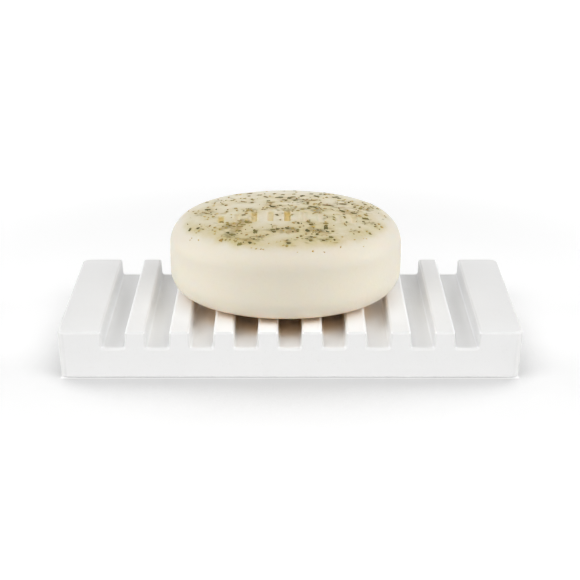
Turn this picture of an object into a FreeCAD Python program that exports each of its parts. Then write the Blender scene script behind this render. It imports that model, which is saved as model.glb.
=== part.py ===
"""Shaving soap puck on its draining dish.

A round, pebble-edged puck of hard shaving soap, with dried herb pieces pressed into its upper face,
stands on the ribs of a cast draining dish. The dish stands on four pads let into its underside.
Millimetres. +X runs along the dish, +Y to its back, +Z up; the origin is the middle of the footprint,
on the surface that the pads stand on.
"""

import FreeCAD, Part
import math
import os
import random

Vec = FreeCAD.Vector
X_AXIS, Y_AXIS, Z_AXIS = Vec(1, 0, 0), Vec(0, 1, 0), Vec(0, 0, 1)

# ---- driving dimensions of the dish ----
DISH_LENGTH = 139.6  # over the top edges of the two ends
DISH_WIDTH = 75.4  # over the top edges of the front and back faces
DISH_HEIGHT = 14.9  # of the casting alone, without the pads
SIDE_DRAFT_DEG = 3.0  # the four outer faces lean in towards the underside
CORNER_RADIUS = 2.6  # of the dish's four corners, seen from above
UNDER_RADIUS = 0.7  # rounding round the underside

GROOVE_COUNT = 9
END_LAND = 13.15  # plain land at each end, from the dish's top edge to the first groove's mouth
GROOVE_DEPTH = 5.2
GROOVE_MOUTH = 7.3  # width between the rib crests, before they are rounded
GROOVE_DRAFT_DEG = 3.0  # the rib walls open upwards by this much a side
ROOT_RADIUS = 0.9  # where a groove's walls meet its floor
EDGE_RADIUS = 0.8  # on the ribs' top edges and round the comb-shaped rim where they meet the outer faces

# ---- driving dimensions of the foot pads ----
PAD_DIAMETER = 8.6
PAD_THICKNESS = 1.6
PAD_PROUD = 0.1  # how far a pad stands below the dish
PAD_SIDE_CLEARANCE = 0.2  # between a pad and the wall of its recess
PAD_INSET = 10.0  # from the edge of the underside to a pad's centre, both ways
PAD_EDGE = 0.3  # bevel round the pad's standing face

# ---- driving dimensions of the puck ----
PUCK_DIAMETER = 73.0
PUCK_UPPER_HEIGHT = 14.3  # from the widest level up to the crown
PUCK_LOWER_HEIGHT = 14.05  # from the widest level down to the flat seat
UPPER_ARCS = (180.0, 9.2, 160.0)  # radii of the outline's tangent arcs: dome, shoulder and side
SEAT_MARGIN = 16.2  # from the puck's side in to the flat seat's edge
LOWER_ARCS = (39.3, 7.8, 180.0)  # radii of the tangent arcs from the seat's edge up to the widest level
PUCK_OFFSET_X = -1.4  # the puck stands this far off the middle of the dish
PUCK_OFFSET_Y = 1.0

# ---- driving dimensions of the herb pieces ----
HERB_MARGIN = 0.5  # from the dome's edge to the outermost piece
HERB_CLUMPS = (  # thicker patches, as shares of the puck's radius across and back
    (-0.66, 0.06), (-0.42, -0.50), (-0.30, -0.76), (0.10, 0.26), (0.04, -0.66), (0.38, -0.68),
    (0.56, -0.12), (0.34, 0.10), (-0.26, 0.36), (0.70, -0.28), (-0.55, -0.24), (0.40, 0.46),
)
HERB_CLUMPED = 0.55  # share of the pieces that lie in the thicker patches
HERB_CLUMP_SPREAD = 0.12  # how far a patch spreads, as a share of the puck's radius
HERB_GAP = 0.35  # least distance between two pieces
HERB_FIT = 0.03  # clearance between a piece and its pocket in the soap
HERB_SEED = 31
HERB_TRIES = 400  # places tried for one piece before it is left out
# kind: how many, shortest and longest piece, width as a share of length, corners, thickness, how proud
HERB_KINDS = {
    "leaf_flakes": (14, 2.8, 4.2, 0.55, 6, 0.42, 0.12),
    "leaf_crumbs": (28, 1.5, 2.4, 0.64, 5, 0.36, 0.10),
    "stem_slivers": (14, 2.4, 4.0, 0.24, 4, 0.34, 0.10),
    "husk_crumbs": (16, 1.1, 1.7, 0.70, 5, 0.32, 0.08),
}

# ---- levels and places that follow from them ----
GROOVE_PITCH = (DISH_LENGTH - 2 * END_LAND - GROOVE_MOUTH) / (GROOVE_COUNT - 1)
UNDERSIDE_Z = PAD_PROUD
DECK_Z = UNDERSIDE_Z + DISH_HEIGHT
GROOVE_FLOOR_Z = DECK_Z - GROOVE_DEPTH
PUCK_RADIUS = PUCK_DIAMETER / 2
PUCK_WAIST = Vec(PUCK_OFFSET_X, PUCK_OFFSET_Y, DECK_Z + PUCK_LOWER_HEIGHT)
BEYOND = 5.0  # how far cutting tools reach past what they cut


def polygon_solid(points, direction):
    """A prism on a closed polygon, swept along a vector."""
    face = Part.Face(Part.makePolygon(list(points) + [points[0]]))
    return face.extrude(direction)


def rounded_outline(corners):
    """A closed wire through (point, radius) corners, each rounded by an arc tangent to its two sides."""
    cuts = []
    for i, (corner, radius) in enumerate(corners):
        back = (corners[i - 1][0] - corner).normalize()
        ahead = (corners[(i + 1) % len(corners)][0] - corner).normalize()
        if radius <= 0:
            cuts.append((corner, None, corner))
            continue
        half_angle = back.getAngle(ahead) / 2
        reach = radius / math.tan(half_angle)
        bisector = (back + ahead).normalize()
        depth = radius / math.sin(half_angle) - radius
        cuts.append((corner + back * reach, corner + bisector * depth, corner + ahead * reach))
    edges = []
    for i, (start, middle, end) in enumerate(cuts):
        if middle is not None:
            edges.append(Part.Arc(start, middle, end).toShape())
        edges.append(Part.LineSegment(end, cuts[(i + 1) % len(cuts)][0]).toShape())
    return Part.Wire(edges)


def leaning_section(width, across):
    """The dish's section between two leaning faces, with its corners as points along a unit vector."""
    lean = math.tan(math.radians(SIDE_DRAFT_DEG))
    top_z = DECK_Z + BEYOND
    low, high = width / 2 - DISH_HEIGHT * lean, width / 2 + BEYOND * lean
    corners = ((-low, UNDERSIDE_Z), (low, UNDERSIDE_Z), (high, top_z), (-high, top_z))
    return [across * out + Z_AXIS * z for out, z in corners]


def dish_block():
    """The dish's outer form with its draft, corners and rounded underside, open-topped above the deck."""
    long_way, wide_way = DISH_LENGTH + 4 * BEYOND, DISH_WIDTH + 4 * BEYOND
    ends = polygon_solid(
        [p - Y_AXIS * wide_way / 2 for p in leaning_section(DISH_LENGTH, X_AXIS)], Y_AXIS * wide_way
    )
    faces = polygon_solid(
        [p - X_AXIS * long_way / 2 for p in leaning_section(DISH_WIDTH, Y_AXIS)], X_AXIS * long_way
    )
    block = ends.common(faces)
    upright = [e for e in block.Edges if abs(e.Vertexes[0].Z - e.Vertexes[1].Z) > DISH_HEIGHT / 2]
    block = block.makeFillet(CORNER_RADIUS, upright)
    under = [e for e in block.Edges if e.BoundBox.ZMax < UNDERSIDE_Z + 0.01]
    return block.makeFillet(UNDER_RADIUS, under)


def deck_comb():
    """Everything below the ribbed deck: the comb-shaped section, swept from front to back."""
    spread = GROOVE_DEPTH * math.tan(math.radians(GROOVE_DRAFT_DEG))
    half_mouth, half_floor = GROOVE_MOUTH / 2, GROOVE_MOUTH / 2 - spread
    past_x, past_z = DISH_LENGTH / 2 + BEYOND, UNDERSIDE_Z - BEYOND
    front_y = -DISH_WIDTH / 2 - BEYOND
    corners = [(Vec(-past_x, front_y, past_z), 0), (Vec(-past_x, front_y, DECK_Z), 0)]
    for centre in groove_centres():
        corners += [
            (Vec(centre - half_mouth, front_y, DECK_Z), 0),
            (Vec(centre - half_floor, front_y, GROOVE_FLOOR_Z), ROOT_RADIUS),
            (Vec(centre + half_floor, front_y, GROOVE_FLOOR_Z), ROOT_RADIUS),
            (Vec(centre + half_mouth, front_y, DECK_Z), 0),
        ]
    corners += [(Vec(past_x, front_y, DECK_Z), 0), (Vec(past_x, front_y, past_z), 0)]
    return Part.Face(rounded_outline(corners)).extrude(Y_AXIS * (DISH_WIDTH + 2 * BEYOND))


def groove_centres():
    middle = (GROOVE_COUNT - 1) / 2
    return [(i - middle) * GROOVE_PITCH for i in range(GROOVE_COUNT)]


def pad_places():
    """Name ending and centre of each foot pad."""
    lean = math.tan(math.radians(SIDE_DRAFT_DEG)) * DISH_HEIGHT
    x = DISH_LENGTH / 2 - lean - PAD_INSET
    y = DISH_WIDTH / 2 - lean - PAD_INSET
    return {
        "front_left": Vec(-x, -y, 0),
        "front_right": Vec(x, -y, 0),
        "back_left": Vec(-x, y, 0),
        "back_right": Vec(x, y, 0),
    }


def make_dish():
    """The cast dish: nine draining grooves that run out through its front and back faces."""
    dish = dish_block().common(deck_comb())
    dish = dish.makeFillet(EDGE_RADIUS, [e for e in dish.Edges if is_crest(e) or is_rim(e)])
    for place in pad_places().values():
        recess = Part.makeCylinder(
            PAD_DIAMETER / 2 + PAD_SIDE_CLEARANCE,
            PAD_THICKNESS - PAD_PROUD + BEYOND,
            place + Z_AXIS * (UNDERSIDE_Z - BEYOND),
        )
        dish = dish.cut(recess)
    return dish


def is_crest(edge):
    """True for the long edge where a groove's wall meets the deck."""
    box = edge.BoundBox
    return box.ZMin > DECK_Z - 0.01 and box.YLength > DISH_WIDTH / 2 and abs(box.XMax) < DISH_LENGTH / 2 - 1


def is_rim(edge):
    """True for an edge where the deck, a rib or a groove runs out through an outer face."""
    middle = edge.valueAt((edge.FirstParameter + edge.LastParameter) / 2)
    if middle.z < GROOVE_FLOOR_Z - 0.01:
        return False
    wall_in = (DECK_Z - middle.z) * math.tan(math.radians(SIDE_DRAFT_DEG))
    off_x = DISH_LENGTH / 2 - wall_in - abs(middle.x)
    off_y = DISH_WIDTH / 2 - wall_in - abs(middle.y)
    on_face = min(off_x, off_y) < 0.01
    in_corner = off_x < CORNER_RADIUS and off_y < CORNER_RADIUS
    return on_face or in_corner


def make_pad(place):
    """One round foot pad, bevelled round the face that it stands on."""
    pad = Part.makeCylinder(PAD_DIAMETER / 2, PAD_THICKNESS, place)
    standing = [e for e in pad.Edges if e.BoundBox.ZMax < place.z + 0.01]
    return pad.makeChamfer(PAD_EDGE, standing)


def outline_arcs(start, radii):
    """Three tangent arcs from a level point of the outline to its widest level, as (start, centre, end)."""
    first, middle, last = radii
    first_centre = start - Z_AXIS * first
    last_centre = Vec(PUCK_RADIUS - last, 0, 0)
    apart = last_centre - first_centre
    along = ((first - middle) ** 2 - (last - middle) ** 2 + apart.Length**2) / (2 * apart.Length)
    across = math.sqrt((first - middle) ** 2 - along**2)
    way = Vec(apart).normalize()
    centre = first_centre + way * along + Y_AXIS.cross(way) * across
    first_end = first_centre + (centre - first_centre).normalize() * first
    middle_end = last_centre + (centre - last_centre).normalize() * last
    return [
        (start, first_centre, first_end),
        (first_end, centre, middle_end),
        (middle_end, last_centre, Vec(PUCK_RADIUS, 0, 0)),
    ]


def upper_arcs():
    """The outline above its widest level, from the axis out, with that level's middle as origin."""
    return outline_arcs(Z_AXIS * PUCK_UPPER_HEIGHT, UPPER_ARCS)


def arc_edge(start, centre, end, side):
    """One arc of the puck's outline as an edge, above the widest level or mirrored below it."""
    middle = centre + (start + end - centre * 2).normalize() * (start - centre).Length
    return Part.Arc(*[PUCK_WAIST + Vec(p.x, 0, side * p.z) for p in (start, middle, end)]).toShape()


def make_blank_puck():
    """The puck as it leaves its mould: a revolved pebble outline with a flat seat."""
    seat_edge = Vec(PUCK_RADIUS - SEAT_MARGIN, 0, PUCK_LOWER_HEIGHT)
    edges = [arc_edge(*arc, 1) for arc in upper_arcs()]
    edges += [arc_edge(*arc, -1) for arc in outline_arcs(seat_edge, LOWER_ARCS)]
    crown = PUCK_WAIST + Z_AXIS * PUCK_UPPER_HEIGHT
    seat_middle = PUCK_WAIST - Z_AXIS * PUCK_LOWER_HEIGHT
    edges.append(Part.LineSegment(seat_middle + X_AXIS * seat_edge.x, seat_middle).toShape())
    edges.append(Part.LineSegment(seat_middle, crown).toShape())
    outline = Part.Wire(Part.sortEdges(edges)[0])
    return Part.Face(outline).revolve(PUCK_WAIST, Z_AXIS, 360)


def herb_frame(x, y, turn):
    """Placement on the puck's dome: local Z is the dome's normal, and turn spins the piece on it."""
    radius = UPPER_ARCS[0]
    outward = Vec(x, y, math.sqrt(radius**2 - x**2 - y**2))
    place = PUCK_WAIST + Z_AXIS * (PUCK_UPPER_HEIGHT - radius) + outward
    spin = FreeCAD.Rotation(Z_AXIS, math.degrees(turn))
    return FreeCAD.Placement(place, FreeCAD.Rotation(Z_AXIS, outward) * spin)


def herb_outline(chance, length, width, corners, grow):
    """A torn piece's outline round the local origin, in its own plane, grown by a clearance."""
    points = []
    for i in range(corners):
        along = 2 * math.pi * (i + chance.uniform(-0.18, 0.18)) / corners
        ragged = chance.uniform(0.82, 1.0)
        points.append(
            Vec(
                (length / 2 * ragged + grow) * math.cos(along),
                (width / 2 * ragged + grow) * math.sin(along),
                0,
            )
        )
    return points


def scatter_herbs():
    """Herb pieces by kind, and the tools that cut their pockets into the soap."""
    chance = random.Random(HERB_SEED)
    taken, pieces, tools = [], {}, []
    for kind, (count, shortest, longest, slender, corners, thickness, proud) in HERB_KINDS.items():
        pieces[kind] = []
        for _ in range(count):
            length = chance.uniform(shortest, longest)
            spot = find_spot(chance, taken, length / 2)
            if spot is None:
                continue
            taken.append((*spot, length / 2))
            frame = herb_frame(*spot, chance.uniform(0, math.pi))
            shape_seed = chance.random()
            sink = thickness - proud
            for grow, low, high, shelf in (
                (0.0, -sink, proud, pieces[kind]),
                (HERB_FIT, -sink - HERB_FIT, BEYOND, tools),
            ):
                outline = herb_outline(
                    random.Random(shape_seed), length, length * slender, corners, grow
                )
                solid = polygon_solid([p + Z_AXIS * low for p in outline], Z_AXIS * (high - low))
                solid.Placement = frame
                shelf.append(solid)
    return pieces, tools


def find_spot(chance, taken, size):
    """A free place for a piece on the puck's dome, as x and y from the puck's axis."""
    dome_edge = upper_arcs()[0][2].x
    reach = dome_edge - HERB_MARGIN - size
    for _ in range(HERB_TRIES):
        if chance.random() < HERB_CLUMPED:
            across, back = chance.choice(HERB_CLUMPS)
            x = PUCK_RADIUS * chance.gauss(across, HERB_CLUMP_SPREAD)
            y = PUCK_RADIUS * chance.gauss(back, HERB_CLUMP_SPREAD)
        else:
            radius, angle = reach * math.sqrt(chance.random()), chance.uniform(0, 2 * math.pi)
            x, y = radius * math.cos(angle), radius * math.sin(angle)
        clear = all(math.hypot(x - u, y - v) > size + other + HERB_GAP for u, v, other in taken)
        if clear and math.hypot(x, y) < reach:
            return x, y
    return None


def save(name, solids):
    """Writes one node, as one solid or as a group of separate solids."""
    shape = solids[0] if len(solids) == 1 else Part.makeCompound(solids)
    if not shape.isValid():
        raise ValueError(name + " is not a valid shape")
    shape.exportStep(os.path.join("parts", name + ".step"))
    print(f"{name}: {len(shape.Solids)} solids, {shape.Volume / 1000:.3f} cm3, {len(shape.Faces)} faces")


os.makedirs("parts", exist_ok=True)
save("draining_dish", make_dish().Solids)
for ending, place in pad_places().items():
    save("foot_pad_" + ending, [make_pad(place)])
herbs, pockets = scatter_herbs()
save("soap_puck", make_blank_puck().cut(Part.makeCompound(pockets)).Solids)
for kind, solids in herbs.items():
    save(kind, solids)
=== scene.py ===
"""A puck of hard shaving soap, with dried herbs pressed into its face, on its cast draining dish."""

import math
import random

import bmesh
import bpy
import numpy as np
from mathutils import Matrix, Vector, noise


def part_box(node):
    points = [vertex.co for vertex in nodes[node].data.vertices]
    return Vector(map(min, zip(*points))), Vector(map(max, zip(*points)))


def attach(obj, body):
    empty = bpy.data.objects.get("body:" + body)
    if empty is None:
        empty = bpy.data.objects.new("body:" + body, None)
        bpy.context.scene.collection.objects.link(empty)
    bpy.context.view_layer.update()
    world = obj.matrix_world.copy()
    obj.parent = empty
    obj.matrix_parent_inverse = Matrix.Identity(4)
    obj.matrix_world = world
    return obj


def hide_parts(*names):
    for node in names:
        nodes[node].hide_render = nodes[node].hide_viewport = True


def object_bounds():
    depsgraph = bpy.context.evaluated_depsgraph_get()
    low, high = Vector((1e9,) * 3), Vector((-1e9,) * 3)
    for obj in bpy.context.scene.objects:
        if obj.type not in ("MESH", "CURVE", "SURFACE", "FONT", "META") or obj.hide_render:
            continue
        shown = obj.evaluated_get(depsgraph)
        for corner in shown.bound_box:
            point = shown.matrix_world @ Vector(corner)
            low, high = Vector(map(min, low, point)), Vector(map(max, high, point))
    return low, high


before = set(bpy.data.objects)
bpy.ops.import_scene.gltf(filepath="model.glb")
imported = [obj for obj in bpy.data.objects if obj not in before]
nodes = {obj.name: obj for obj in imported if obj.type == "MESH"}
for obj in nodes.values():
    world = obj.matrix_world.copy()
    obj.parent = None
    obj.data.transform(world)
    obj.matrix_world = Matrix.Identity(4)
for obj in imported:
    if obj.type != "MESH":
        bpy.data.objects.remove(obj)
cad_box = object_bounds()


# ---- camera ----
# A long lens about half a metre off, looking down on the middle of the deck at a shallow angle.
dish_low, dish_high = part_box("draining_dish")
deck_middle = Vector(((dish_low.x + dish_high.x) / 2, (dish_low.y + dish_high.y) / 2, dish_high.z))
CAMERA_TILT = math.radians(17.94)
CAMERA_REACH = 0.5727
lens = bpy.data.cameras.new("set_camera")
lens.sensor_width = 36.0
lens.lens = 111.7
lens.shift_y = 0.0055
lens.clip_end = 20.0
camera = bpy.data.objects.new("set_camera", lens)
camera.location = deck_middle + CAMERA_REACH * Vector((0, -math.cos(CAMERA_TILT), math.sin(CAMERA_TILT)))
camera.rotation_euler = (math.pi / 2 - CAMERA_TILT, 0, 0)
bpy.context.scene.collection.objects.link(camera)
bpy.context.scene.camera = camera


# ---- draining dish ----
# One casting of white mineral stone with a matt surface: nine drafted grooves between ten lands.
# It is sealed, so its grain is fine and even. Light and shade are painted into its colour: paler walls, rib
# rims and rib tops near the puck, duller groove floors, rims and end faces, and a warm tan shade under the
# puck.
class Socket:
    """A socket in a finish. Arithmetic on it adds Math nodes."""

    def __init__(self, finish, socket):
        self.finish, self.socket = finish, socket

    def maths(self, operation, first, second):
        return self.finish.maths(operation, first, second)

    def __add__(self, other):
        return self.maths("ADD", self, other)

    def __radd__(self, other):
        return self.maths("ADD", other, self)

    def __sub__(self, other):
        return self.maths("SUBTRACT", self, other)

    def __rsub__(self, other):
        return self.maths("SUBTRACT", other, self)

    def __mul__(self, other):
        return self.maths("MULTIPLY", self, other)

    def __rmul__(self, other):
        return self.maths("MULTIPLY", other, self)

    def __abs__(self):
        return self.finish.node("ShaderNodeMath", {"operation": "ABSOLUTE"}, {0: self})


class Finish:
    """A node material in the making, on its own surface shader. With sky, it is that world's instead."""

    def __init__(self, name, surface="ShaderNodeBsdfPrincipled", sky=None, **constants):
        self.material = sky or bpy.data.materials.new(name)
        self.material.use_nodes = True
        self.tree = self.material.node_tree
        self.tree.nodes.clear()
        self.surface = self.tree.nodes.new(surface)
        end = self.tree.nodes.new("ShaderNodeOutputWorld" if sky else "ShaderNodeOutputMaterial")
        self.tree.links.new(self.surface.outputs[0], end.inputs["Surface"])
        for socket, value in constants.items():
            self.surface.inputs[socket.replace("_", " ")].default_value = value

    def node(self, kind, settings=None, inputs=None, output=0):
        """Adds a node: its settings first, then its sockets' values or links. Gives one output back."""
        made = self.tree.nodes.new(kind)
        for setting, value in (settings or {}).items():
            setattr(made, setting, value)
        for name, value in (inputs or {}).items():
            socket = made.inputs[name] if isinstance(name, int) else self.pick(made.inputs, name)
            if isinstance(value, Socket):
                self.tree.links.new(value.socket, socket)
            else:
                socket.default_value = value
        given = made.outputs[output] if isinstance(output, int) else self.pick(made.outputs, output)
        return Socket(self, given)

    @staticmethod
    def pick(sockets, name):
        """The socket of this name that the node's settings leave in use."""
        return next(socket for socket in sockets if socket.name == name and socket.enabled)

    def maths(self, operation, first, second):
        return self.node("ShaderNodeMath", {"operation": operation}, {0: first, 1: second})

    def vector(self, operation, *operands, output="Vector"):
        return self.node("ShaderNodeVectorMath", {"operation": operation}, dict(enumerate(operands)), output)

    def most(self, highest, *others):
        """The highest of several values."""
        for other in others:
            highest = self.maths("MAXIMUM", highest, other)
        return highest

    def part(self, vector, axis):
        """The X, Y or Z of a vector."""
        return self.node("ShaderNodeSeparateXYZ", None, {"Vector": vector}, axis)

    def place(self):
        """Where a point is, in metres, in the piece's own frame."""
        return self.node("ShaderNodeTexCoord", output="Object")

    def layer(self, name):
        """A value kept on the points of the piece's mesh."""
        return self.node("ShaderNodeAttribute", {"attribute_name": name}, None, "Fac")

    def grain(self, size, detail=2.0, roughness=0.5):
        """Noise from 0 to 1 whose marks are about this size in metres."""
        sockets = {"Vector": self.place(), "Scale": 1.0 / size, "Detail": detail, "Roughness": roughness}
        return self.node("ShaderNodeTexNoise", {"noise_dimensions": "3D"}, sockets, "Fac")

    def between(self, value, low, high):
        """0 below low, 1 above high, and a smooth step from one to the other."""
        limits = {"Value": value, "From Min": low, "From Max": high}
        return self.node("ShaderNodeMapRange", {"interpolation_type": "SMOOTHSTEP"}, limits, "Result")

    def mix(self, share, first, second):
        """Two colours mixed; share is how much of the second."""
        sockets = {"Factor": share, "A": first, "B": second}
        return self.node("ShaderNodeMix", {"data_type": "RGBA", "blend_type": "MIX"}, sockets, "Result")

    def bump(self, height, depth, under=None):
        """A normal from a height of 0 to 1 that stands for this depth in metres."""
        sockets = {"Height": height, "Distance": depth, "Strength": 1.0}
        if under is not None:
            sockets["Normal"] = under
        return self.node("ShaderNodeBump", None, sockets, "Normal")

    def feed(self, **links):
        """Links what changes over the surface to the shader's own sockets."""
        for name, value in links.items():
            self.tree.links.new(value.socket, self.surface.inputs[name.replace("_", " ")])

    def cover(self, *pieces):
        for piece in pieces:
            piece.data.materials.clear()
            piece.data.materials.append(self.material)


MM = 0.001
puck_low, puck_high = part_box("soap_puck")
PUCK_AXIS = Vector(((puck_low.x + puck_high.x) / 2, (puck_low.y + puck_high.y) / 2))
STONE_WHITE = (0.885, 0.884, 0.880, 1)
STONE_SHADE = (0.83, 0.827, 0.818, 1)
# Colours of painted shade and painted light; the tan is painted warm shade under the puck.
STONE_PAINTED_SHADE = (0.71, 0.706, 0.695, 1)
STONE_PAINTED_LIGHT = (0.937, 0.942, 0.948, 1)
PAINTED_WARM_SHADE = (0.99, 0.80, 0.57, 1)
GROOVE_PITCH = 13.25 * MM
LEFT_OF_DISH = 8 * GROOVE_PITCH  # added to a place along the dish, so that it is never below 0
HALF_LENGTH = dish_high.x - deck_middle.x
stone = Finish("matt_white_stone", Roughness=0.5, IOR=1.45, Specular_IOR_Level=0.12)
cloud = stone.grain(9 * MM, 3.0)
speck = stone.grain(0.35 * MM, 3.0, 0.6)
pore = stone.between(stone.grain(0.8 * MM, 1.0), 0.66, 0.74)

# Where a point of the casting is.
level = stone.part(stone.place(), "Z")
along = stone.part(stone.place(), "X") - deck_middle.x
from_mid = abs(stone.part(stone.place(), "Y") - deck_middle.y)
plan = stone.vector("MULTIPLY", stone.place(), (1, 1, 0))
off_axis = stone.vector("DISTANCE", plan, PUCK_AXIS.to_3d(), output="Value")
off_groove = stone.maths("PINGPONG", along + LEFT_OF_DISH, GROOVE_PITCH / 2)
sunk = 1 - stone.between(level, dish_high.z - 2.5 * MM, dish_high.z - 0.4 * MM)
in_groove = 1 - stone.between(level, dish_high.z - 4.5 * MM, dish_high.z - 2.0 * MM)
at_end = stone.between(abs(along), HALF_LENGTH - 6 * MM, HALF_LENGTH - 4 * MM)

# What it belongs to, from the way it faces.
facing = stone.node("ShaderNodeTexCoord", output="Normal")
sideways, frontways, upright = (stone.part(facing, axis) for axis in "XYZ")
endways = abs(sideways)
rim = stone.between(upright, 0.12, 0.5) * (1 - stone.between(upright, 0.86, 0.99))
corner = stone.between(abs(sideways * frontways), 0.1, 0.4)
rib_rim = rim * stone.between(endways, 0.2, 0.6) * (1 - at_end)
wall = stone.between(endways, 0.6, 0.95) * (1 - at_end)
end_face = stone.between(endways, 0.25, 0.95) * at_end
flat = stone.between(upright, 0.8, 0.97)
# Painted light on the rib tops just in front of the puck, against the puck's shade.
near_puck = flat * (1 - in_groove) * (1 - stone.between(off_axis, 36 * MM, 50 * MM))

# Painted light and shade: the walls, the rib rims and the rib tops near the puck are painted a little paler,
# as lit.
# The groove floors, most in their middle, the other rims and corners, and the end faces are painted duller,
# as shade.
painted_light_share = stone.most(wall, near_puck, rib_rim)
# Painted shade on the rims and corners, which tones down their highlights.
painted_rim_shade = stone.most(rim, corner) * (1 - rib_rim) * (0.7 + 0.5 * cloud)
# Painted shade on the groove floors: most in the middle of each floor, less towards the ends and near the
# puck.
groove_middle_share = 1 - 0.7 * stone.between(off_groove, 0.2 * MM, 3.2 * MM)
dull = in_groove * flat * groove_middle_share * (1 - 0.5 * stone.between(from_mid, 5 * MM, 32 * MM))
dull *= 0.35 + 0.65 * stone.between(off_axis, 30 * MM, 52 * MM)
# Painted warm shade: the groove floors under the puck are tan, for the brown shade there.
painted_warm_shade_share = sunk * (1 - stone.between(off_axis + 3 * MM * cloud, 21 * MM, 33 * MM))
stone_tone = stone.mix(0.22 * cloud + 0.18 * speck + 0.25 * pore, STONE_WHITE, STONE_SHADE)
stone_tone = stone.mix(painted_light_share, stone_tone, STONE_PAINTED_LIGHT)
stone_tone = stone.mix(stone.most(0.5 * painted_rim_shade, dull, 0.8 * end_face), stone_tone, STONE_PAINTED_SHADE)
stone.feed(
    Base_Color=stone.mix(painted_warm_shade_share, stone_tone, PAINTED_WARM_SHADE),
    Roughness=0.44 + 0.10 * speck + 0.06 * cloud,
    Normal=stone.bump(speck * 0.7 - pore * 0.5, 0.035 * MM, stone.bump(cloud, 0.12 * MM)),
)
stone.cover(nodes["draining_dish"])


# ---- foot pads ----
# Four moulded discs of soft clear-grey rubber, let into the underside so that the dish stands on them.
RUBBER_GREY = (0.36, 0.365, 0.37, 1)
RUBBER_DUST = (0.52, 0.52, 0.51, 1)
rubber = Finish("pad_rubber", Roughness=0.6, IOR=1.5)
dusting = rubber.between(rubber.grain(1.6 * MM, 4.0, 0.65), 0.42, 0.68)
rubber.feed(
    Base_Color=rubber.mix(dusting * 0.55, RUBBER_GREY, RUBBER_DUST),
    Roughness=0.52 + 0.22 * dusting,
    Normal=rubber.bump(rubber.grain(0.25 * MM, 2.0), 0.03 * MM),
)
rubber.cover(*(node for name, node in nodes.items() if name.startswith("foot_pad")))


# ---- soap puck ----
# Hard cream soap cast in a round mould: a low dome, a round shoulder, a bellied side and a flat seat.
# A row of round-ended bars is stamped into its face. Its outline is the solid's own run of tangent arcs.
PUCK_RADIUS = (puck_high.x - puck_low.x) / 2
SEAT_LEVEL = puck_low.z
WAIST_SHARE = 14.05 / 28.35  # of the puck's height, from the seat up to where it is widest
WAIST_LEVEL = SEAT_LEVEL + WAIST_SHARE * (puck_high.z - puck_low.z)
FACE_RADII = (180.0 * MM, 9.2 * MM, 160.0 * MM)  # dome, shoulder, side
FACE_STEPS = (0.32 * MM, 0.34 * MM, 0.8 * MM)  # between the rings of points on each
FOOT_RADII = (39.3 * MM, 7.8 * MM, 180.0 * MM)  # rise from the seat, lower shoulder, side
FOOT_STEPS = (0.8 * MM, 0.5 * MM, 0.8 * MM)
SEAT_MARGIN = 16.2 * MM  # from the widest edge in to the flat seat
SEAT_RADIUS = PUCK_RADIUS - SEAT_MARGIN
SEAT_RINGS = 20
RING_FEWEST, RING_MOST = 40, 320  # points in a ring
RING_SPACING = 0.034 * MM  # a ring with a larger radius than this for each point gets twice the points
SKIN_SWELL = 0.16 * MM  # how far the skin's slow unevenness goes in
SKIN_WAVE, SKIN_SEED = 11 * MM, 3.0
BAR_PITCH = 5.15 * MM
BAR_MIDDLE = Vector((0.6 * MM, -9.9 * MM))  # from the puck's axis
BAR_LONGEST, BAR_SHORTEST = 9.8 * MM, 6.6 * MM
BAR_HALF_WIDTH = 1.15 * MM
BAR_DEPTH = 0.8 * MM
BAR_EDGE = 0.55 * MM  # how wide the slope round a bar is
BAR_STRENGTHS = (1.0, 0.6, 0.95, 0.65, 1.1, 0.5, 0.35, 0.4, 0.55)  # how far each has gone in, from the left


def arc_points(start_r, start_z, radii, steps):
    """Points and normals (r, z, nr, nz) down three tangent arcs, from a level start to the upright waist."""
    first, middle, last = radii
    first_centre = Vector((start_r, start_z - first))
    last_centre = Vector((PUCK_RADIUS - last, 0))
    apart = last_centre - first_centre
    along = ((first - middle) ** 2 - (last - middle) ** 2 + apart.length**2) / (2 * apart.length)
    across = math.sqrt((first - middle) ** 2 - along**2)
    way = apart.normalized()
    centre = first_centre + way * along + Vector((way.y, -way.x)) * across
    turn_one = math.atan2(*(centre - first_centre))
    turn_two = math.atan2(*(centre - last_centre))
    runs = (
        (first_centre, first, 0, turn_one),
        (centre, middle, turn_one, turn_two),
        (last_centre, last, turn_two, math.pi / 2),
    )
    points = []
    for (middle_point, radius, begin, end), step in zip(runs, steps):
        count = max(2, round(radius * (end - begin) / step))
        for k in range(count):
            angle = begin + (end - begin) * k / count
            nr, nz = math.sin(angle), math.cos(angle)
            points.append((middle_point.x + radius * nr, middle_point.y + radius * nz, nr, nz))
    return points


upper = arc_points(0, puck_high.z - WAIST_LEVEL, FACE_RADII, FACE_STEPS)
lower = arc_points(SEAT_RADIUS, WAIST_LEVEL - SEAT_LEVEL, FOOT_RADII, FOOT_STEPS)
outline = upper[1:] + [(PUCK_RADIUS, 0, 1, 0)] + [(r, -z, nr, -nz) for r, z, nr, nz in reversed(lower)]
seat_steps = [SEAT_RADIUS * k / SEAT_RINGS for k in range(SEAT_RINGS - 1, 0, -1)]
outline += [(r, SEAT_LEVEL - WAIST_LEVEL, 0, -1) for r in seat_steps]
FACE_R = np.array([p[0] for p in upper])
FACE_Z = np.array([p[1] for p in upper]) + WAIST_LEVEL


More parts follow.
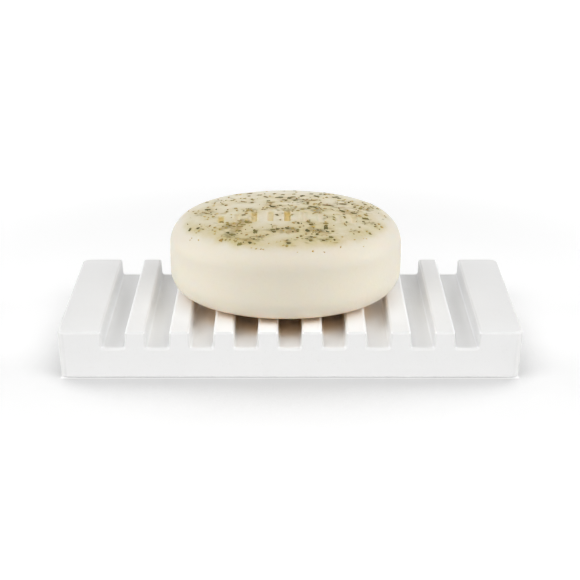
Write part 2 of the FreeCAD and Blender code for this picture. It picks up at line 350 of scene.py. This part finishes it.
def bars():
    """Middle x, middle y, half length and strength of each stamped bar, from the puck's axis."""
    half_count = (len(BAR_STRENGTHS) - 1) / 2
    for k, strength in enumerate(BAR_STRENGTHS):
        share = (k - half_count) / half_count
        length = BAR_SHORTEST + (BAR_LONGEST - BAR_SHORTEST) * math.sqrt(max(0, 1 - share * share))
        middle_x = BAR_MIDDLE.x + share * BAR_PITCH * half_count
        yield middle_x, BAR_MIDDLE.y, length / 2 - BAR_HALF_WIDTH, strength


def smooth(values):
    """0 below 0, 1 above 1, and a smooth step between."""
    held = np.clip(values, 0, 1)
    return held * held * (3 - 2 * held)


def stamped(x, y):
    """How deep the stamp has gone at points of the face, 0 to 1 of its depth."""
    deep = np.zeros_like(x)
    for bar_x, bar_y, reach, strength in bars():
        off = np.hypot(x - bar_x, np.maximum(np.abs(y - bar_y) - reach, 0))
        deep = np.maximum(deep, strength * smooth((BAR_HALF_WIDTH - off) / BAR_EDGE))
    return deep


def swell(x, y, size=SKIN_WAVE, seed=SKIN_SEED):
    """Slow unevenness from 0 to 1, in waves of about this size."""
    points = (Vector((px / size, py / size, seed)) for px, py in zip(x, y))
    return np.array([0.5 + 0.5 * noise.noise(p) for p in points])


def face_level(x, y):
    """Height of the soap's face at points given from the puck's axis, with stamp and unevenness."""
    level = np.interp(np.hypot(x, y), FACE_R, FACE_Z)
    return level - BAR_DEPTH * stamped(x, y) - SKIN_SWELL * swell(x, y)


def ring_size(radius):
    """How many points a ring of the cast has: fewer near the axis."""
    count = RING_FEWEST
    while count < RING_MOST and radius > count * RING_SPACING:
        count *= 2
    return count


def join_rings(faces, inner, outer):
    """Faces between two rings of point numbers that have as many points, or twice as many, as each other."""
    if len(inner) > len(outer):
        turned = []
        join_rings(turned, outer, inner)
        faces.extend(tuple(reversed(f)) for f in turned)
        return
    count = len(inner)
    for k in range(count):
        a, b = inner[k], inner[(k + 1) % count]
        if len(outer) == count:
            faces.append((a, outer[k], outer[(k + 1) % count], b))
        else:
            near, mid, far = outer[2 * k], outer[2 * k + 1], outer[(2 * k + 2) % (2 * count)]
            faces.extend(((a, near, mid), (a, mid, b), (b, mid, far)))


def cast_puck():
    """The puck's skin as rings of points down the outline, from the crown to the middle of the seat."""
    points, pushes, rings, faces = [(0, 0, puck_high.z)], [(0, 0, -1)], [], []
    for r, z, nr, nz in outline:
        count = ring_size(r)
        rings.append(list(range(len(points), len(points) + count)))
        for k in range(count):
            turn = 2 * math.pi * k / count
            points.append((r * math.cos(turn), r * math.sin(turn), z + WAIST_LEVEL))
            pushes.append((-nr * math.cos(turn), -nr * math.sin(turn), -nz))
    points.append((0, 0, SEAT_LEVEL))
    pushes.append((0, 0, 1))
    for k, inner in enumerate(rings[0]):
        faces.append((0, inner, rings[0][(k + 1) % len(rings[0])]))
        last = rings[-1]
        faces.append((len(points) - 1, last[(k + 1) % len(last)], last[k]))
    for inner, outer in zip(rings, rings[1:]):
        join_rings(faces, inner, outer)
    return np.array(points), np.array(pushes), faces


def new_piece(name, points, faces):
    """A smooth-shaded mesh object of these points and faces."""
    mesh = bpy.data.meshes.new(name)
    mesh.from_pydata([tuple(p) for p in points], [], faces)
    mesh.shade_smooth()
    mesh.update()
    piece = bpy.data.objects.new(name, mesh)
    bpy.context.scene.collection.objects.link(piece)
    return piece


FACE_SLOPE = 0.25  # the face ends where the skin's normal rises by less than this
SIDE_SLANT = 0.31  # how far the unevenness of the side shifts with height
SEAT_EASE = 3 * MM  # the unevenness fades out over this height above the flat seat
soap_points, soap_pushes, soap_faces = cast_puck()
px, py, pz = soap_points.T
on_face = soap_pushes[:, 2] < -FACE_SLOPE
face_x, face_y = px[on_face], py[on_face]
give = SKIN_SWELL * swell(px + SIDE_SLANT * (pz - WAIST_LEVEL), py)
give[on_face] = SKIN_SWELL * swell(face_x, face_y)
give *= smooth((pz - SEAT_LEVEL) / SEAT_EASE)
give[on_face] += BAR_DEPTH * stamped(face_x, face_y)
soap_points = soap_points + soap_pushes * give[:, None] + np.array((PUCK_AXIS.x, PUCK_AXIS.y, 0))
soap_puck = new_piece("soap_puck_cast", soap_points, soap_faces)

SOAP_LAYERS = ("stain", "drowned", "stamp")
SOAP_CREAM = (0.74, 0.688, 0.572, 1)
SOAP_MILKY = (0.73, 0.692, 0.588, 1)
# Painted light and painted shade in the cream: paler side, deeper shoulder and a warm bounce band.
SOAP_PAINTED_LIGHT = (0.78, 0.72, 0.60, 1)
SOAP_PAINTED_SHADE = (0.685, 0.638, 0.535, 1)
SOAP_WARM_BOUNCE = (0.90, 0.76, 0.59, 1)
# Painted shade: amber at the seat, for the warm shade in the grooves under the puck.
SOAP_AMBER_SHADE = (0.93, 0.60, 0.28, 1)
STAMP_OCHRE = (0.67, 0.495, 0.14, 1)
BLED_YELLOW = (0.54, 0.435, 0.155, 1)
DROWNED_OLIVE = (0.295, 0.235, 0.082, 1)
DROWNED_BROWN = (0.42, 0.29, 0.09, 1)
soap = Finish(
    "cream_soap",
    Roughness=0.5,
    IOR=1.5,
    Subsurface_Weight=1.0,
    Specular_IOR_Level=0.42,
    Subsurface_Radius=(1.0, 0.75, 0.5),
    Subsurface_Scale=1.6 * MM,
)
height = soap.part(soap.place(), "Z")
stain, drowned, stamp = (soap.layer(name) for name in SOAP_LAYERS)
milky = soap.grain(14 * MM, 2.0)
waxy = soap.grain(0.6 * MM, 3.0, 0.6)
ragged = soap.grain(0.9 * MM, 3.0, 0.65)

# Painted light and shade: the cream is painted paler down the side, deeper over the shoulder as shade,
# and peach in a low band as warm bounced light. The amber at the seat stands in for warm shade under the
# puck.
side = 1 - soap.between(height, SEAT_LEVEL + 1 * MM, WAIST_LEVEL + 6 * MM)
shoulder = soap.between(height, WAIST_LEVEL - 2 * MM, WAIST_LEVEL + 8 * MM)
shoulder *= 1 - 0.6 * soap.between(height, puck_high.z - 4.5 * MM, puck_high.z - 2 * MM)
warm_bounce_band = 1 - soap.between(height, SEAT_LEVEL + 0.5 * MM, SEAT_LEVEL + 6.5 * MM)
amber_shade_underside = 1 - soap.between(height, SEAT_LEVEL + 0.6 * MM, SEAT_LEVEL + 3.2 * MM)
body = soap.mix(milky, SOAP_CREAM, SOAP_MILKY)
body = soap.mix(0.7 * side, body, SOAP_PAINTED_LIGHT)
body = soap.mix(shoulder, body, SOAP_PAINTED_SHADE)
body = soap.mix(0.5 * warm_bounce_band, body, SOAP_WARM_BOUNCE)
body = soap.mix(0.85 * amber_shade_underside, body, SOAP_AMBER_SHADE)

# What the herbs and the stamp leave in it.
herb_kind = soap.between(soap.grain(6 * MM, 1.0), 0.42, 0.58)
sunken = soap.mix(herb_kind, DROWNED_OLIVE, DROWNED_BROWN)
body = soap.mix(soap.between(stain + 0.3 * ragged, 0.1, 1.3), body, BLED_YELLOW)
body = soap.mix(stamp, body, STAMP_OCHRE)
body = soap.mix(soap.between(drowned + 0.55 * ragged, 0.30, 1.25), body, sunken)
soap.feed(
    Base_Color=body,
    Roughness=0.42 + 0.16 * waxy,
    Normal=soap.bump(waxy, 0.05 * MM, soap.bump(soap.grain(3 * MM, 2.0), 0.10 * MM)),
)
soap.cover(soap_puck)
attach(soap_puck, "puck")
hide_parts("soap_puck")


# ---- leaf flakes ----
# The largest herb pieces: torn bits of dark dried leaf, curled, thin, and partly drowned in the soap's skin.
# One lies where each of the solid's flakes is, and smaller torn bits lie between them.
def loose_places(name):
    """Middle, half length, half width and heading in plan of each separate piece of a CAD node."""
    work = bmesh.new()
    work.from_mesh(nodes[name].data)
    bmesh.ops.remove_doubles(work, verts=work.verts, dist=0.001 * MM)
    left, places = set(work.verts), []
    while left:
        start = left.pop()
        island, edge = [start], [start]
        while edge:
            for link in edge.pop().link_edges:
                for vertex in link.verts:
                    if vertex in left:
                        left.remove(vertex)
                        island.append(vertex)
                        edge.append(vertex)
        plan = np.array([vertex.co[:2] for vertex in island]) - np.array(PUCK_AXIS)
        middle = (plan.min(0) + plan.max(0)) / 2
        spread, ways = np.linalg.eigh(np.cov((plan - middle).T))
        heading = math.atan2(ways[1, 1], ways[0, 1])
        reach = np.abs((plan - middle) @ ways).max(0)
        places.append((middle[0], middle[1], reach[1], reach[0], heading))
    work.free()
    return sorted(places, key=lambda place: (-place[2], place[0]))


PATCHES = (  # thicker patches of herb: across and back from the puck's axis in mm, spread, how much herb
    (-24.5, 0, 2.0, 1.2), (-17.5, -17, 1.8, 1.2), (-16, -22, 1.8, 1.7), (-13, -15, 1.6, 0.9),
    (-17, -25.5, 1.6, 1.1), (-12.5, -29, 1.4, 1.0), (-9, -28, 1.5, 0.9), (-11.5, -3, 1.5, 0.9),
    (-3, 0.5, 1.8, 0.8), (1, -3, 1.8, 0.8), (4, 8.5, 2.6, 1.9), (2, -22, 1.5, 1.1),
    (-2, -21, 1.6, 0.7), (1, -30.5, 1.3, 0.6), (7, -15.5, 2.2, 1.0), (10, -22.5, 1.8, 1.5),
    (8, -28, 1.5, 0.7), (12, 4.5, 1.9, 1.1), (9.5, -3.5, 1.9, 0.9), (11.5, 21, 1.8, 0.5),
    (13, -27.5, 1.7, 1.1), (20.5, -2.5, 2.0, 1.3), (23, -20, 1.7, 0.9), (27, -11, 1.8, 1.0),
    (27, 7, 1.8, 0.6), (25, 3, 2.2, 0.8), (-25, -16, 1.8, 0.8), (-8, 18, 1.8, 0.5),
    (-20, 12, 2.0, 0.5), (20, 10, 2.2, 0.7),
)
HERB_REACH = 0.885 * PUCK_RADIUS
RIM_START = 0.74 * PUCK_RADIUS  # past this, pieces lie roughly along the rim
KEEP_CLEAR = 0.75  # of two pieces' half lengths together
BARE_MIDDLE, BARE_HALF_SIZE = (0, 20 * MM), (11 * MM, 6 * MM)  # the spot with next to no herb
BACK_START, BACK_THINNING = 17 * MM, 0.55  # how much herb is left out at the back
BARE_EXCEPTIONS = 0.2  # the share of places that may lie on a bare spot all the same
HEADROOM = 0.02 * MM  # left under the top of the solid's box
LEAF_RINGS = ((0.42, 0.75), (0.78, 0.8), (1.0, 0.1))  # how far out each is, and how much thickness it has
LEAF_FOOT, LEAF_ROOT = 0.96, 0.35 * MM  # the hidden underside: how far out it is, and how deep in the soap
taken = []  # (x, y, half length) of every herb piece laid so far


def clear_of(x, y, size):
    """Whether a piece of this half length here would keep clear of the pieces laid before."""
    return all((x - tx) ** 2 + (y - ty) ** 2 > (KEEP_CLEAR * (size + other)) ** 2 for tx, ty, other in taken)


def bare(x, y):
    """Whether the face has next to no herb here: behind the middle and in the stamped bars."""
    across, back = ((p - m) / h for p, m, h in zip((x, y), BARE_MIDDLE, BARE_HALF_SIZE))
    behind = across**2 + back**2 < 1
    return behind or float(stamped(np.array([x]), np.array([y]))[0]) > 0.02


def somewhere(draw, patched):
    """A place with herb: by this share in one of the thicker patches, and otherwise anywhere on the face."""
    while True:
        if draw.random() < patched:
            middle_x, middle_y, spread, _ = draw.choices(PATCHES, [patch[3] for patch in PATCHES])[0]
            x, y = draw.gauss(middle_x, spread) * MM, draw.gauss(middle_y, spread) * MM
        else:
            turn, out = draw.uniform(0, math.tau), HERB_REACH * math.sqrt(draw.random())
            x, y = out * math.cos(turn), out * math.sin(turn)
        if y > BACK_START and draw.random() < BACK_THINNING:
            continue
        if math.hypot(x, y) < HERB_REACH and (draw.random() < BARE_EXCEPTIONS or not bare(x, y)):
            return x, y


def lies(draw, x, y):
    """A piece's heading: any way on the crown, and roughly along the rim near the shoulder."""
    if math.hypot(x, y) > RIM_START:
        return math.atan2(y, x) + math.pi / 2 + draw.gauss(0, 0.35)
    return draw.uniform(0, math.pi)


def scatter(draw, count, smallest, largest, patched):
    """Places for pieces of these lengths, mostly the shorter ones, clear of the pieces laid before."""
    places = []
    while len(places) < count:
        x, y = somewhere(draw, patched)
        size = (smallest + (largest - smallest) * draw.random() ** 1.8) / 2
        if not clear_of(x, y, size):
            continue
        taken.append((x, y, size))
        places.append((x, y, size, size * draw.uniform(0.5, 0.95), lies(draw, x, y)))
    return places


class HerbMesh:
    """Collects pieces that follow the soap's face into one mesh, each with its own tone from 0 to 1."""

    def __init__(self):
        self.points, self.faces, self.tones = [], [], []

    def lay(self, plan, heights, faces, tone):
        """Adds one piece: points in plan from the puck's axis, heights over the soap's face, faces."""
        x, y = plan[:, 0], plan[:, 1]
        near_shoulder = smooth((np.hypot(x, y) / PUCK_RADIUS - 0.70) / 0.14)
        pressed = heights * (1 - 0.6 * near_shoulder)
        level = np.minimum(face_level(x, y) + pressed, cad_box[1].z - HEADROOM)
        first = len(self.points)
        self.points.extend(zip(x + PUCK_AXIS.x, y + PUCK_AXIS.y, level))
        self.faces.extend(tuple(first + k for k in face) for face in faces)
        self.tones.extend([tone] * len(plan))

    def piece(self, name):
        made = new_piece(name, self.points, self.faces)
        tone = made.data.attributes.new("tone", "FLOAT", "POINT")
        tone.data.foreach_set("value", self.tones)
        return made


def turned(points, heading, x, y):
    """Plan points turned to a heading and moved to their place."""
    cos, sin = math.cos(heading), math.sin(heading)
    return points @ np.array(((cos, sin), (-sin, cos))) + np.array((x, y))


def torn_leaf(draw, mesh, place, corners, curl, thick, tone):
    """A thin ragged piece: a fan of rings whose rim curls up or sinks into the soap by turns."""
    x, y, long, wide, heading = place
    seed = draw.uniform(0, 90)
    rim = []
    for k in range(corners):
        turn = math.tau * k / corners
        ragged = 0.74 + 0.50 * noise.noise(Vector((2.3 * math.cos(turn), 2.3 * math.sin(turn), seed)))
        ragged += draw.uniform(-0.15, 0.15)
        rim.append((long * ragged * math.cos(turn), wide * ragged * math.sin(turn)))
    rim = np.array(rim)
    flat, heights = [np.zeros((1, 2))], [thick * 0.55]
    for share, lift in LEAF_RINGS:
        flat.append(rim * share)
        for px, py in rim * share:
            wave = noise.noise(Vector((px / long * 1.7, py / long * 1.7, seed + 5)))
            vein = 0.25 * math.exp(-((py / (0.18 * wide)) ** 2))
            heights.append(thick * (lift - vein) + curl * share * share * (wave + 0.15))
    flat.append(rim * LEAF_FOOT)
    heights.extend([-LEAF_ROOT] * corners)
    faces = []
    for k in range(corners):
        near, far = 1 + k, 1 + (k + 1) % corners
        faces.append((0, near, far))
        for ring in range(len(LEAF_RINGS)):
            low, high = ring * corners, (ring + 1) * corners
            faces.append((near + low, near + high, far + high, far + low))
    faces.append(tuple(1 + len(LEAF_RINGS) * corners + k for k in reversed(range(corners))))
    mesh.lay(turned(np.vstack(flat), heading, x, y), np.array(heights), faces, tone)


def herb_finish(name, dark, light, rough):
    """Dried herb: its tone runs from dark to light piece by piece, mottled, with a dull uneven surface."""
    finish = Finish(name, Roughness=rough, IOR=1.4, Specular_IOR_Level=0.08)
    tone = finish.layer("tone")
    mottle = finish.grain(0.45 * MM, 3.0, 0.6)
    finish.feed(
        Base_Color=finish.mix(finish.between(tone + 0.5 * mottle, 0.15, 1.3), dark, light),
        Roughness=rough - 0.1 + 0.2 * mottle,
        Normal=finish.bump(finish.grain(0.22 * MM, 2.0), 0.06 * MM),
    )
    return finish


LEAF_BLACK = (0.105, 0.092, 0.034, 1)
LEAF_GREEN = (0.29, 0.237, 0.080, 1)
draw = random.Random(11)
flake_places = loose_places("leaf_flakes")
taken.extend((x, y, long) for x, y, long, _, _ in flake_places)
for name in ("leaf_crumbs", "stem_slivers", "husk_crumbs"):
    taken.extend((x, y, long) for x, y, long, _, _ in loose_places(name))
flakes = HerbMesh()
for place in flake_places:
    tone = draw.uniform(0, 0.6)
    torn_leaf(draw, flakes, place, corners=20, curl=0.26 * MM, thick=0.15 * MM, tone=tone)
for place in scatter(draw, 28, 1.3 * MM, 2.8 * MM, patched=0.75):
    tone = draw.uniform(0, 1)
    torn_leaf(draw, flakes, place, corners=14, curl=0.22 * MM, thick=0.14 * MM, tone=tone)
leaf_flakes = flakes.piece("leaf_flakes_torn")
herb_finish("dried_leaf_dark", LEAF_BLACK, LEAF_GREEN, 0.72).cover(leaf_flakes)
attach(leaf_flakes, "puck")
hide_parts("leaf_flakes")


# ---- leaf crumbs ----
# Rubbed leaf, olive green: crumpled grains and small flakes, from coarse crumbs down to fine dust.
def crumb_ball():
    """Points and faces of an even ball of radius 1, to crumple into grains."""
    work = bmesh.new()
    bmesh.ops.create_icosphere(work, subdivisions=1, radius=1.0)
    points = np.array([vertex.co[:] for vertex in work.verts])
    faces = [tuple(vertex.index for vertex in face.verts) for face in work.faces]
    work.free()
    return points, faces


BALL_POINTS, BALL_FACES = crumb_ball()


def crumb(draw, mesh, place, proud, tone):
    """A crumpled grain, sunk in the soap so that only its top stands proud."""
    x, y, long, wide, heading = place
    seed = Vector((draw.uniform(0, 90), draw.uniform(0, 90), 0))
    crumpled = np.array([p * (0.9 + 0.45 * noise.noise(Vector(p) * 1.6 + seed)) for p in BALL_POINTS])
    plan = turned(crumpled[:, :2] * np.array((long, wide)), heading, x, y)
    mesh.lay(plan, crumpled[:, 2] * wide * 0.55 + proud - 0.30 * wide, BALL_FACES, tone)


OLIVE_DARK = (0.15, 0.118, 0.040, 1)
OLIVE_PALE = (0.46, 0.35, 0.12, 1)
draw = random.Random(23)
crumbs = HerbMesh()
for place in loose_places("leaf_crumbs"):
    tone = draw.uniform(0, 0.8)
    torn_leaf(draw, crumbs, place, corners=12, curl=0.18 * MM, thick=0.15 * MM, tone=tone)
for place in scatter(draw, 120, 0.7 * MM, 1.9 * MM, patched=0.74):
    crumb(draw, crumbs, place, proud=0.14 * MM, tone=draw.uniform(0, 1))
leaf_crumbs = crumbs.piece("leaf_crumbs_rubbed")
herb_finish("rubbed_leaf_olive", OLIVE_DARK, OLIVE_PALE, 0.75).cover(leaf_crumbs)
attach(leaf_crumbs, "puck")
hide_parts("leaf_crumbs")


# ---- stem slivers ----
# Split bits of dry brown stem, round-backed and slightly bent, lying along the soap's face.
STEM_RINGS, STEM_SIDES = 7, 6
STEM_PROUD = 0.3 * MM  # the most a sliver stands out of the soap
STEM_WIDEST = 0.26 * MM  # half width
STEM_FINE = 0.12 * MM  # half width of the scattered ones


def sliver(draw, mesh, place, tone):
    """A bent, tapered splinter: rings of points along its length, closed at both ends."""
    x, y, long, wide, heading = place
    bend = draw.uniform(-0.22, 0.22)
    flat, heights, faces = [], [], []
    for k in range(STEM_RINGS):
        share = 2 * k / (STEM_RINGS - 1) - 1
        girth = wide * (1 - 0.62 * share * share) * draw.uniform(0.85, 1.1)
        for side in range(STEM_SIDES):
            turn = math.tau * side / STEM_SIDES
            flat.append((long * share, girth * math.cos(turn) + bend * long * share * share))
            heights.append(0.02 * MM + girth * (0.25 + 0.7 * math.sin(turn)))
    for k in range(STEM_RINGS - 1):
        for side in range(STEM_SIDES):
            a, b = k * STEM_SIDES + side, k * STEM_SIDES + (side + 1) % STEM_SIDES
            faces.append((a, a + STEM_SIDES, b + STEM_SIDES, b))
    faces.append(tuple(range(STEM_SIDES)))
    faces.append(tuple((STEM_RINGS - 1) * STEM_SIDES + side for side in reversed(range(STEM_SIDES))))
    mesh.lay(turned(np.array(flat), heading, x, y), np.minimum(np.array(heights), STEM_PROUD), faces, tone)


STEM_DARK = (0.19, 0.125, 0.045, 1)
STEM_PALE = (0.44, 0.32, 0.13, 1)
draw = random.Random(37)
stems = HerbMesh()
for place in loose_places("stem_slivers"):
    x, y, long, wide, heading = place
    sliver(draw, stems, (x, y, long, min(wide, STEM_WIDEST), heading), draw.uniform(0, 1))
for x, y, long, _, heading in scatter(draw, 36, 0.9 * MM, 2.2 * MM, patched=0.7):
    sliver(draw, stems, (x, y, long, STEM_FINE, heading), draw.uniform(0, 1))
stem_slivers = stems.piece("stem_slivers_split")
herb_finish("dry_stem_brown", STEM_DARK, STEM_PALE, 0.66).cover(stem_slivers)
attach(stem_slivers, "puck")
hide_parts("stem_slivers")


# ---- husk crumbs ----
# Ochre bits of seed husk and petal: curved scales and grains, which stray furthest down the front shoulder.
HUSK_BROWN = (0.29, 0.17, 0.045, 1)
HUSK_OCHRE = (0.60, 0.43, 0.14, 1)
draw = random.Random(53)
STRAY_COUNT = 18
STRAY_TURNS = (math.radians(-150), math.radians(-30))  # the front shoulder
husks = HerbMesh()
for place in loose_places("husk_crumbs"):
    tone = draw.uniform(0.2, 1)
    torn_leaf(draw, husks, place, corners=10, curl=0.22 * MM, thick=0.12 * MM, tone=tone)
for place in scatter(draw, 150, 0.5 * MM, 1.6 * MM, patched=0.68):
    crumb(draw, husks, place, proud=0.12 * MM, tone=draw.uniform(0, 1))
for k in range(STRAY_COUNT):
    turn, out = draw.uniform(*STRAY_TURNS), draw.uniform(0.88, 0.945) * PUCK_RADIUS
    size = draw.uniform(0.25, 0.5) * MM
    taken.append((out * math.cos(turn), out * math.sin(turn), size))
    along_rim = turn + math.pi / 2 + draw.gauss(0, 0.3)
    crumb(draw, husks, (*taken[-1], size * 0.5, along_rim), proud=0.06 * MM, tone=draw.uniform(0.5, 1))
husk_crumbs = husks.piece("husk_crumbs_curved")
herb_finish("seed_husk_ochre", HUSK_BROWN, HUSK_OCHRE, 0.6).cover(husk_crumbs)
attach(husk_crumbs, "puck")
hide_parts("husk_crumbs")


# ---- what the herbs leave in the soap ----
# Herb that sank under the skin shows as soft dark smears, and round every piece the soap has turned yellow.
# Both are kept as layers on the puck's mesh, with the ochre that stays in the stamped bars.
BLEED_NEAR, BLEED_WIDE = 1.0 * MM, 3.4 * MM
NEAR_SHARE, WIDE_SHARE = 0.37, 0.46
SUNKEN_COUNT = 380
SMALLEST_SUNK = 0.45 * MM  # half length of the pieces that show a sunken part too
close, wide, clear_skin = np.zeros(len(face_x)), np.zeros(len(face_x)), np.ones(len(face_x))
draw = random.Random(71)
for x, y, size in taken:
    off = (face_x - x) ** 2 + (face_y - y) ** 2
    close += np.exp(-off / (2 * (BLEED_NEAR + 0.5 * size) ** 2)) * size / MM
    wide += np.exp(-off / (2 * BLEED_WIDE**2)) * size / MM
bled = WIDE_SHARE * (1 - np.exp(-wide / 1.4)) + NEAR_SHARE * (1 - np.exp(-close))
face_out = np.hypot(face_x, face_y) + 1.5 * MM * (swell(face_x, face_y, 4 * MM, 8.0) - 0.5)
bled *= smooth((0.95 * PUCK_RADIUS - face_out) / (0.085 * PUCK_RADIUS))


def sink(x, y, long, wide, heading, tone):
    """A soft-edged smear in the skin, as of a piece that lies just under it."""
    cos, sin = math.cos(heading), math.sin(heading)
    along = (face_x - x) * cos + (face_y - y) * sin
    across = (face_y - y) * cos - (face_x - x) * sin
    clear_skin[:] *= 1 - tone * np.exp(-((along / long) ** 2 + (across / wide) ** 2) ** 1.3)


for x, y, size in taken:
    if size > SMALLEST_SUNK and math.hypot(x, y) < 0.86 * PUCK_RADIUS:
        heading = lies(draw, x, y)
        aside, behind = draw.gauss(0, 0.4) * size, draw.gauss(0, 0.5) * size
        sink(x + aside, y + behind, 1.5 * size, 0.9 * size, heading, 0.40)
for _ in range(SUNKEN_COUNT):
    x, y = somewhere(draw, 0.88)
    faces_out = float(smooth((math.hypot(x, y) / PUCK_RADIUS - 0.62) / 0.25))
    long, tone = draw.uniform(0.5, 1.8) * MM * (1 - 0.45 * faces_out), draw.uniform(0.2, 0.75)
    sink(x, y, long, long * draw.uniform(0.4, 0.8) * (1 - 0.4 * faces_out), lies(draw, x, y), tone)
for x, y, spread, herb in PATCHES:
    sink(x * MM, y * MM, 1.5 * spread * MM, 1.1 * spread * MM, draw.gauss(0, 0.3), 0.15 * herb)
bar_tones = np.zeros(len(face_x))
for bar_x, _, _, strength in bars():  # each bar keeps its own amount of ochre
    bar_tones[np.abs(face_x - bar_x) < BAR_PITCH / 2] = strength * draw.uniform(0.85, 1.1)
in_stamp = np.minimum(1.6 * stamped(face_x, face_y), 1)
for layer, values in zip(SOAP_LAYERS, (bled * (1 - 0.7 * in_stamp), 1 - clear_skin, in_stamp * bar_tones)):
    full = np.zeros(len(soap_points))
    full[on_face] = np.clip(values, 0, 1.5)
    soap_puck.data.attributes.new(layer, "FLOAT", "POINT").data.foreach_set("value", full)


# ---- floor and light ----
# A plain white floor inside a ring of large softboxes, low at the sides and behind and higher in front, with
# one more overhead. The floor has a soft painted shadow that falls forward, as under a big light high behind
# the set.
FLOOR_HALF = 4.0
FLOOR_CORNERS = [(x * FLOOR_HALF, y * FLOOR_HALF, 0) for x, y in ((-1, -1), (1, -1), (1, 1), (-1, 1))]
floor = new_piece("studio_floor", FLOOR_CORNERS, [(0, 1, 2, 3)])
PAPER_WHITE = (0.80, 0.80, 0.80, 1)
PAPER_SHADED = (0.544, 0.544, 0.544, 1)
UNLIT, LIT = (0, 0, 0, 1), (1, 1, 1, 1)
SHADED_SHARE = 0.33  # of the floor's glow that is left in full shade
SHADE_REACH = 55 * MM
FOOT_INSET = 1.2 * MM  # the dish's foot stands this far inside its box
SHADE_WAY = {"Y": 0.6, "Z": 0.8}  # the shade falls forward
paper = Finish("floor_paper", Roughness=1.0, Specular_IOR_Level=0.0, Emission_Strength=1.0)
# Painted shadow: an occlusion node darkens what the camera sees of the floor where the set hides a sky
# leaning back.
leaning = paper.node("ShaderNodeCombineXYZ", None, SHADE_WAY)
shade = {"Distance": SHADE_REACH, "Normal": leaning}
open_sky = paper.between(paper.node("ShaderNodeAmbientOcclusion", {"samples": 16}, shade, "AO"), 0.36, 0.885)

# The glow is lower near the set than far off, and a painted light lifts it in a narrow line where the dish
# meets the floor, over the contact shade there.
back = paper.part(paper.place(), "Y")
away = paper.vector("LENGTH", paper.place(), output="Value")
glow = 0.205 + 0.10 * paper.between(back, -45 * MM, 0.0) + 0.74 * paper.between(away, 0.13, 0.45)
foot_half = (HALF_LENGTH - FOOT_INSET, dish_high.y - deck_middle.y - FOOT_INSET, 1)
from_middle = paper.vector("SUBTRACT", paper.place(), (deck_middle.x, deck_middle.y, 0))
from_middle = paper.vector("ABSOLUTE", from_middle)
outside = paper.vector("MAXIMUM", paper.vector("SUBTRACT", from_middle, foot_half), (0, 0, 0))
beyond = paper.vector("LENGTH", outside, output="Value")
painted_contact_light = 0.09 * (1 - paper.between(beyond, 0.3 * MM, 1.2 * MM))
painted_contact_light += 0.28 * (1 - paper.between(beyond, 0.1 * MM, 0.7 * MM))


def seen(finish, ways=("Camera", "Glossy", "Transmission")):
    """1 on rays of these kinds, and 0 for the light itself."""
    return finish.most(*(finish.node("ShaderNodeLightPath", output=f"Is {way} Ray") for way in ways))


in_view = seen(paper)
seen_glow = in_view * (painted_contact_light + glow * (SHADED_SHARE + (1 - SHADED_SHARE) * open_sky))
paper.feed(
    Base_Color=paper.mix(in_view * (1 - open_sky), PAPER_WHITE, PAPER_SHADED),
    Emission_Color=paper.mix(seen_glow, UNLIT, LIT),
)
paper.cover(floor)

BOX_SIZE, BOX_REACH = 0.5, 0.85  # metres
SOFTBOXES = (  # name, degrees round from the front, degrees up, watts
    ("front", 0, 35, 2.0), ("left", -90, 12, 3.85), ("right", 90, 12, 3.85),
    ("back", 180, 15, 0.9), ("over", 0, 90, 0.62),
    ("front_left", -45, 45, 2.45), ("front_right", 45, 45, 2.45),
    ("back_left", -135, 20, 0.3), ("back_right", 135, 20, 0.3),
)
for name, round_from_front, up, watts in SOFTBOXES:
    turn, rise = math.radians(round_from_front), math.radians(up)
    way = Vector((math.sin(turn) * math.cos(rise), -math.cos(turn) * math.cos(rise), math.sin(rise)))
    lamp = bpy.data.lights.new("softbox_" + name, "AREA")
    lamp.shape, lamp.size, lamp.energy = "SQUARE", BOX_SIZE, watts
    box = bpy.data.objects.new("softbox_" + name, lamp)
    box.location = deck_middle + way * BOX_REACH
    box.rotation_euler = (-way).to_track_quat("-Z", "Y").to_euler()
    bpy.context.scene.collection.objects.link(box)

studio = bpy.data.worlds.new("studio_sky")
bpy.context.scene.world = studio
sky = Finish("studio_sky", "ShaderNodeBackground", sky=studio, Color=(1, 1, 1, 1))
sky.feed(Strength=seen(sky))
bpy.context.scene.view_settings.view_transform = "Standard"
